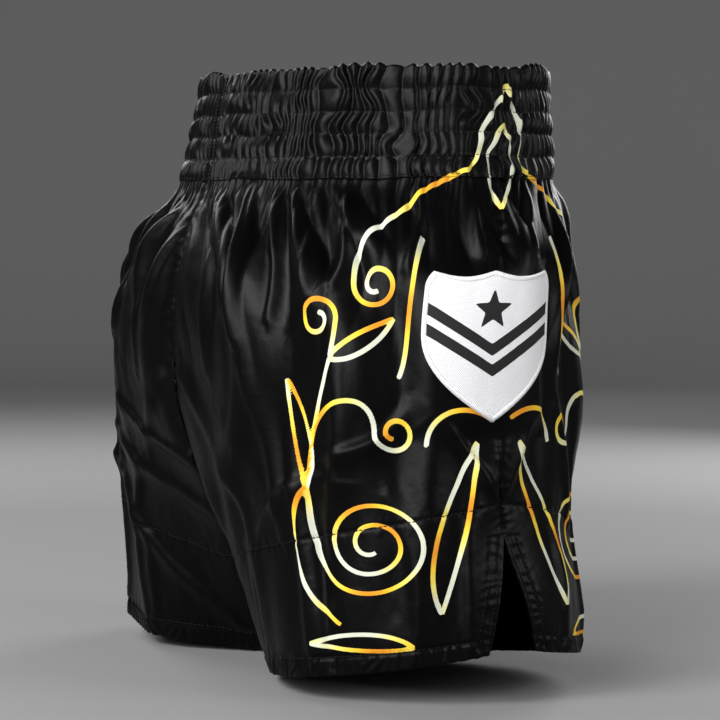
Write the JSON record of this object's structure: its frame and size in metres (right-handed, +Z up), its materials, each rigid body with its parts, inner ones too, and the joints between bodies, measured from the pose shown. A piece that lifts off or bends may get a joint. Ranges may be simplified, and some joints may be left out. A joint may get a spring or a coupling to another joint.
{
  "type": "boxing shorts",
  "caption": "Loose satin boxing shorts with a gathered elastic waistband, a slit at the outer side of each leg and a sewn badge on each hip.",
  "frame": {"origin": "middle of the bounding box in X and Y, on the surface the hems rest on", "axes": "+Z up to the waist opening; the wearer faces -Y, so the wearer's right leg is at -X"},
  "size_m": [0.4336, 0.2534, 0.378],
  "materials": {
    "satin": "smooth black polyester satin with a soft sheen",
    "elastic": "matte black woven elastic",
    "thread": "black polyester thread",
    "badge_twill": "matte white twill"
  },
  "bodies": {
    "root": {"waistband_casing": "satin", "waistband_stitching": "thread", "waistband_join": "satin", "centre_back_seam": "satin", "centre_front_seam": "satin", "waist_elastic_1": "elastic", "waist_elastic_2": "elastic", "waist_elastic_3": "elastic", "waist_elastic_4": "elastic", "waist_elastic_5": "elastic", "right_back_panel": "satin", "right_back_slit_facing": "satin", "right_back_hem_lining": "satin", "right_front_panel": "satin", "right_front_slit_facing": "satin", "right_front_hem_lining": "satin", "right_side_seam": "satin", "right_inseam": "satin", "right_hem_stitching": "thread", "right_lining_stitching": "thread", "right_slit_stitching": "thread", "right_slit_bartack": "thread", "right_badge_backing": "badge_twill", "right_badge_face": "badge_twill", "right_badge_border": "badge_twill", "left_back_panel": "satin", "left_back_slit_facing": "satin", "left_back_hem_lining": "satin", "left_front_panel": "satin", "left_front_slit_facing": "satin", "left_front_hem_lining": "satin", "left_side_seam": "satin", "left_inseam": "satin", "left_hem_stitching": "thread", "left_lining_stitching": "thread", "left_slit_stitching": "thread", "left_slit_bartack": "thread", "left_badge_backing": "badge_twill", "left_badge_face": "badge_twill", "left_badge_border": "badge_twill"}
  },
  "joints": []
}
